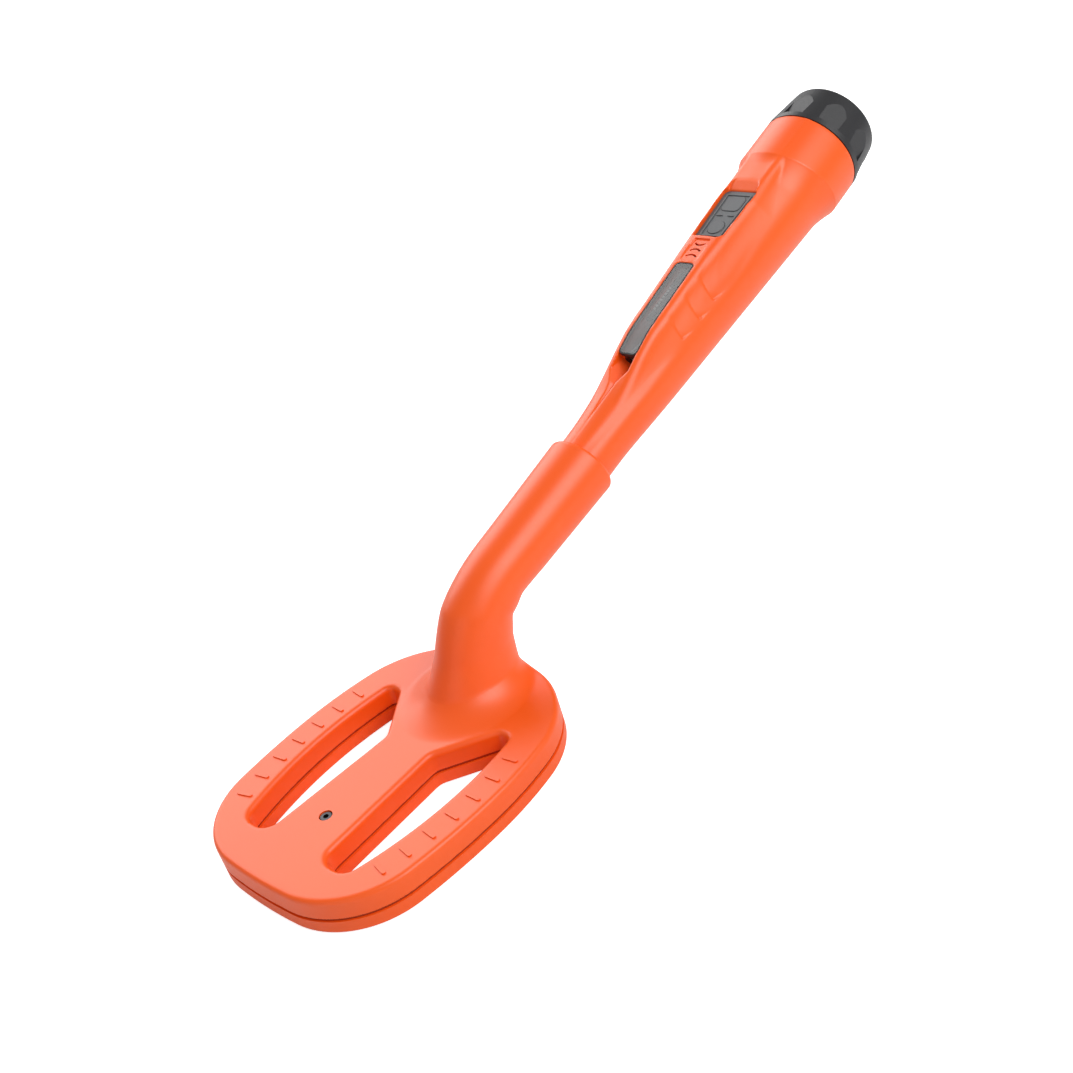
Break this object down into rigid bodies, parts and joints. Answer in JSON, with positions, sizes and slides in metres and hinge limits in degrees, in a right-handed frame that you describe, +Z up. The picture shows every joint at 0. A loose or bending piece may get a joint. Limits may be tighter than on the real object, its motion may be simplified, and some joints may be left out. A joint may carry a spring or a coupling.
{
  "type": "metal detector",
  "caption": "Hand-held underwater metal detector: flat slotted search coil, tubular handle with window and keypad, and fluted screw cap.",
  "frame": {"origin": "centre of the coil's flat underside", "axes": "+Y from the coil towards the screw cap, +Z up from the coil's underside, +X across, to the right when looking along +Y"},
  "size_m": [0.105, 0.4033, 0.1477],
  "materials": {
    "orange_shell": "satin moulded",
    "dark_seal": "matte",
    "copper_wire": "enamelled",
    "nylon": "natural",
    "foam": "open cell",
    "dark_steel": "blackened",
    "steel": "bright",
    "cable_jacket": "matte",
    "keypad_rubber": "matte",
    "chip_black": "matte",
    "circuit_board": "solder mask",
    "window_clear": "polished",
    "light_white": "clear moulded",
    "mirror_bright": "metallised",
    "membrane": "expanded film",
    "sounder_brass": "rolled",
    "battery_case": "printed sleeve",
    "cap_black": "fine texture"
  },
  "bodies": {
    "detector": {"coil_top_shell": "orange_shell", "handle_housing": "orange_shell", "coil_bottom_cover": "orange_shell", "limb_bars": "orange_shell", "coil_seam_seals": "dark_seal", "sleeve_seal_rings": "dark_seal", "window_gasket": "dark_seal", "cable_gland": "dark_seal", "sounder_ring": "dark_seal", "transmit_winding": "copper_wire", "receive_winding": "copper_wire", "balance_windings": "copper_wire", "winding_former": "nylon", "coil_plug": "nylon", "coil_socket": "nylon", "coil_spacer_foam": "foam", "battery_foam": "foam", "coil_screw": "dark_steel", "board_screws": "steel", "motor_body": "steel", "battery_terminals": "steel", "board_capacitors": "steel", "coil_cable": "cable_jacket", "board_lead": "cable_jacket", "keypad": "keypad_rubber", "key_switches": "chip_black", "board_chips": "chip_black", "key_board": "circuit_board", "light_board": "circuit_board", "main_board": "circuit_board", "contact_board": "circuit_board", "window": "window_clear", "lamp_lens": "window_clear", "indicator_lights": "light_white", "lamp_source": "light_white", "light_sensor": "chip_black", "lamp_reflector": "mirror_bright", "sound_membrane": "membrane", "sounder": "sounder_brass", "battery": "battery_case"},
    "cap_plate": {"pressure_plate": "nylon", "pressure_pad": "foam"},
    "cap": {"cap": "cap_black", "cap_seal_rings": "dark_seal"},
    "mode_button": {"mode_key": "keypad_rubber", "mode_plunger": "nylon"},
    "power_button": {"power_key": "keypad_rubber", "power_plunger": "nylon"},
    "vibration_weight": {"motor_shaft": "steel", "motor_weight": "steel"}
  },
  "joints": [
    {"name": "cap_travel", "type": "slide", "parent": "detector", "child": "cap_plate", "axis": [0, 0.9553, 0.2957], "range_m": [0, 0.0075]},
    {"name": "cap_turn", "type": "hinge", "parent": "cap_plate", "child": "cap", "pos_m": [0, 0.03, 0.0359], "axis": [0, 0.9553, 0.2957], "range_deg": [0, 900]},
    {"name": "mode_press", "type": "slide", "parent": "detector", "child": "mode_button", "axis": [0, 0.2957, -0.9553], "range_m": [0, 0.0008], "stiffness_N_per_m": 1500, "springref_m": -0.0003},
    {"name": "power_press", "type": "slide", "parent": "detector", "child": "power_button", "axis": [0, 0.2957, -0.9553], "range_m": [0, 0.0008], "stiffness_N_per_m": 1500, "springref_m": -0.0003},
    {"name": "vibration_spin", "type": "hinge", "parent": "detector", "child": "vibration_weight", "pos_m": [0, 0.03225, 0.02864], "axis": [0, 0.9553, 0.2957], "continuous": true}
  ],
  "couplings": [
    {"joint": "cap_travel", "follows": "cap_turn", "m_per_rad": 0.000477}
  ]
}
